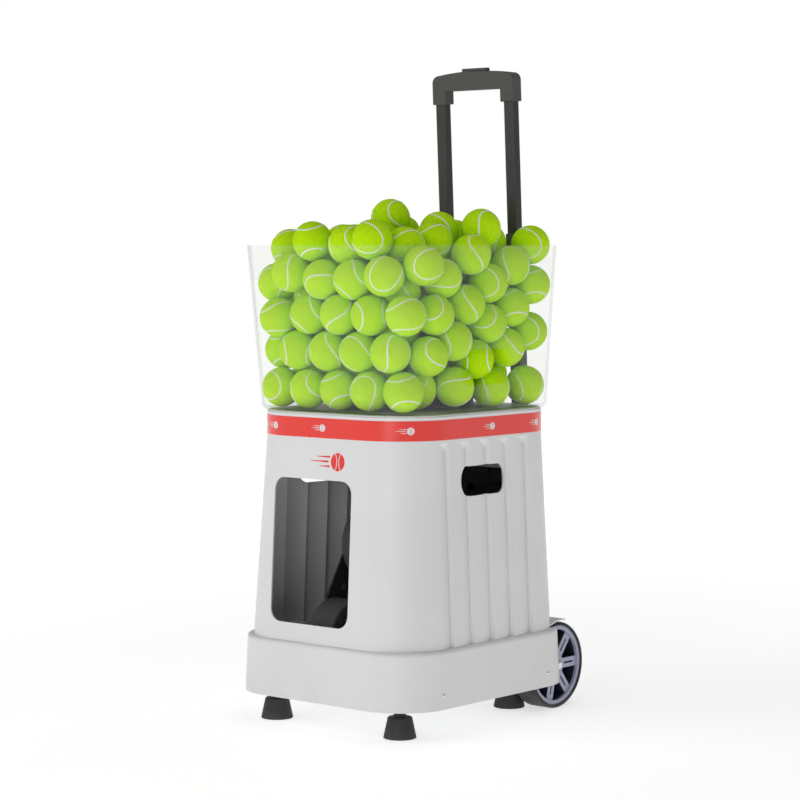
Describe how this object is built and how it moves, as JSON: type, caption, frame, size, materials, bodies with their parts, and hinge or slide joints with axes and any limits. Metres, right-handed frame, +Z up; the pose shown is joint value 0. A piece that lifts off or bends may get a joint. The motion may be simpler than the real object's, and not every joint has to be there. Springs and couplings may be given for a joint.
{
  "type": "tennis ball machine",
  "caption": "Wheeled tennis ball machine with a clear open ball hopper, pleated casing, tilting two-wheel throwing head and telescopic trolley handle.",
  "frame": {"origin": "centre of the footprint's bounding box, on the ground", "axes": "+Z up, the throwing window faces -Y, and +X is on the right of someone facing the window, so that a node named left is on the -X side"},
  "size_m": [0.4144, 0.5136, 1.1138],
  "materials": {
    "body_white": "off-white moulded plastic, satin",
    "band_red": "red printed band",
    "clear_plastic": "clear polycarbonate",
    "rubber": "black rubber",
    "tyre": "black tyre",
    "rim_grey": "lavender grey plastic",
    "chrome": "chromed",
    "zinc": "zinc plated steel",
    "handle_grey": "dark grey plastic",
    "handle_metal": "dark grey anodised",
    "black_plastic": "black plastic",
    "motor": "painted motor case",
    "throw_rubber": "grey-black polyurethane",
    "board": "circuit board",
    "gauge": "dark gauge lens",
    "aluminium": "machined"
  },
  "bodies": {
    "base": {"base_skirt": "body_white", "body_shell": "body_white", "red_band": "band_red", "top_deck": "body_white", "hopper": "clear_plastic", "feeder_gearmotor": "motor", "ball_chute": "black_plastic", "chassis_plate": "zinc", "rubber_feet": "rubber", "foot_studs": "zinc", "skirt_screws": "chrome", "axle": "zinc", "axle_brackets": "zinc", "axle_nuts": "chrome", "wheel_arches": "black_plastic", "turntable_bearing": "zinc", "pan_motor_bridge": "zinc", "pan_gearmotor": "motor", "battery": "black_plastic", "control_box": "black_plastic", "control_board": "board", "rear_panel": "black_plastic", "panel_screws": "chrome", "switch_housing": "black_plastic", "charge_socket": "black_plastic", "battery_gauge": "gauge", "handle_tube_left": "handle_metal", "handle_tube_right": "handle_metal", "handle_collars": "handle_grey", "handle_bracket_upper": "body_white", "handle_bracket_lower": "body_white"},
    "turret": {"turntable": "aluminium", "yoke": "zinc", "tilt_pins": "zinc", "tilt_gearmotor": "motor"},
    "throwing_head": {"head_plate_left": "motor", "head_plate_right": "motor", "head_spacers": "zinc", "ball_trough": "black_plastic", "shaft_bearings": "zinc", "lower_throwing_motor": "motor", "upper_throwing_motor": "motor"},
    "lower_wheel": {"lower_throwing_tread": "throw_rubber", "lower_throwing_hub": "aluminium", "lower_throwing_shaft": "zinc"},
    "upper_wheel": {"upper_throwing_tread": "throw_rubber", "upper_throwing_hub": "aluminium", "upper_throwing_shaft": "zinc"},
    "roller": {"pan_roller": "rubber"},
    "feeder": {"feeder_disc": "black_plastic", "agitator_cap": "black_plastic", "feeder_shaft": "zinc"},
    "left_road_wheel": {"road_rim_left": "rim_grey", "road_tyre_left": "tyre"},
    "right_road_wheel": {"road_rim_right": "rim_grey", "road_tyre_right": "tyre"},
    "handle": {"handle_rails": "handle_metal", "grip": "handle_grey"},
    "button": {"release_button": "handle_grey"},
    "rocker": {"power_rocker": "black_plastic"}
  },
  "joints": [
    {"name": "turret_pan", "type": "hinge", "parent": "base", "child": "turret", "pos_m": [-0.02, -0.1142, 0.067], "axis": [0, 0, 1], "range_deg": [-12, 12]},
    {"name": "roller_spin", "type": "hinge", "parent": "base", "child": "roller", "pos_m": [-0.02, 0.0131, 0.067], "axis": [0, 0, 1], "range_deg": [-95, 95]},
    {"name": "head_tilt", "type": "hinge", "parent": "turret", "child": "throwing_head", "pos_m": [-0.02, -0.1142, 0.2225], "axis": [1, 0, 0], "range_deg": [0, 35]},
    {"name": "lower_wheel_spin", "type": "hinge", "parent": "throwing_head", "child": "lower_wheel", "pos_m": [-0.02, -0.15745, 0.14759], "axis": [1, 0, 0], "continuous": true},
    {"name": "upper_wheel_spin", "type": "hinge", "parent": "throwing_head", "child": "upper_wheel", "pos_m": [-0.02, -0.07095, 0.29741], "axis": [1, 0, 0], "continuous": true},
    {"name": "feeder_spin", "type": "hinge", "parent": "base", "child": "feeder", "pos_m": [0, -0.0186, 0.54], "axis": [0, 0, 1], "continuous": true},
    {"name": "left_wheel_roll", "type": "hinge", "parent": "base", "child": "left_road_wheel", "pos_m": [-0.15, 0.1818, 0.075], "axis": [1, 0, 0], "continuous": true},
    {"name": "right_wheel_roll", "type": "hinge", "parent": "base", "child": "right_road_wheel", "pos_m": [0.15, 0.1818, 0.075], "axis": [1, 0, 0], "continuous": true},
    {"name": "handle_slide", "type": "slide", "parent": "base", "child": "handle", "axis": [0, -0.0523, 0.9986], "range_m": [-0.228, 0]},
    {"name": "button_press", "type": "slide", "parent": "handle", "child": "button", "axis": [0, 0.0523, -0.9986], "range_m": [0, 0.0035], "stiffness_N_per_m": 600, "springref_m": -0.001},
    {"name": "rocker_switch", "type": "hinge", "parent": "base", "child": "rocker", "pos_m": [0.03, 0.19214, 0.372], "axis": [0, -0.0214, 0.9998], "range_deg": [-6, 6]}
  ],
  "couplings": [
    {"joint": "roller_spin", "follows": "turret_pan", "ratio": -7.4667}
  ]
}
